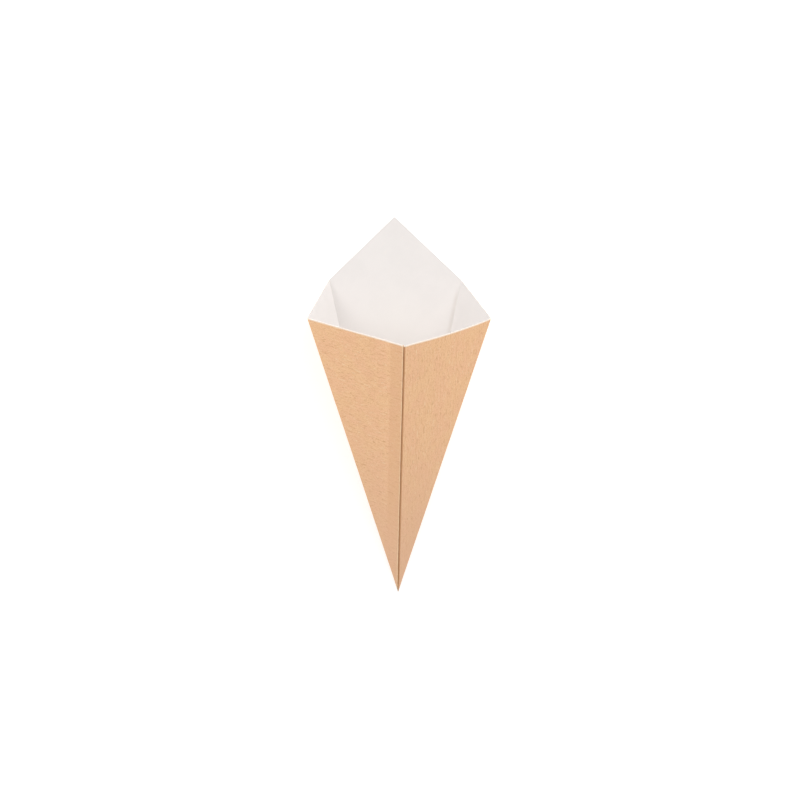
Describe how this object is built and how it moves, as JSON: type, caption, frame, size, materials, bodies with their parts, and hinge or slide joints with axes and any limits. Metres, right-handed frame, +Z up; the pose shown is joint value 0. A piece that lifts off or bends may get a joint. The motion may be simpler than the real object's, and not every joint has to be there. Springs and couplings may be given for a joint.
{
  "type": "french fries cone",
  "caption": "Folded kraft board cone for french fries, white inside, with a glued lap seam down the front and a raised back corner.",
  "frame": {"origin": "centre of the bounding box at its underside, on the outer face of the back panel that the cone lies on", "axes": "+Y along the back panel from the tip to the mouth, +Z up out of the back panel towards the seam, +X to the right as seen from the seam side"},
  "size_m": [0.1064, 0.2294, 0.066],
  "materials": {
    "board": "matt kraft outside, smooth white inside"
  },
  "bodies": {
    "root": {"fries_cone": "board"}
  },
  "joints": []
}
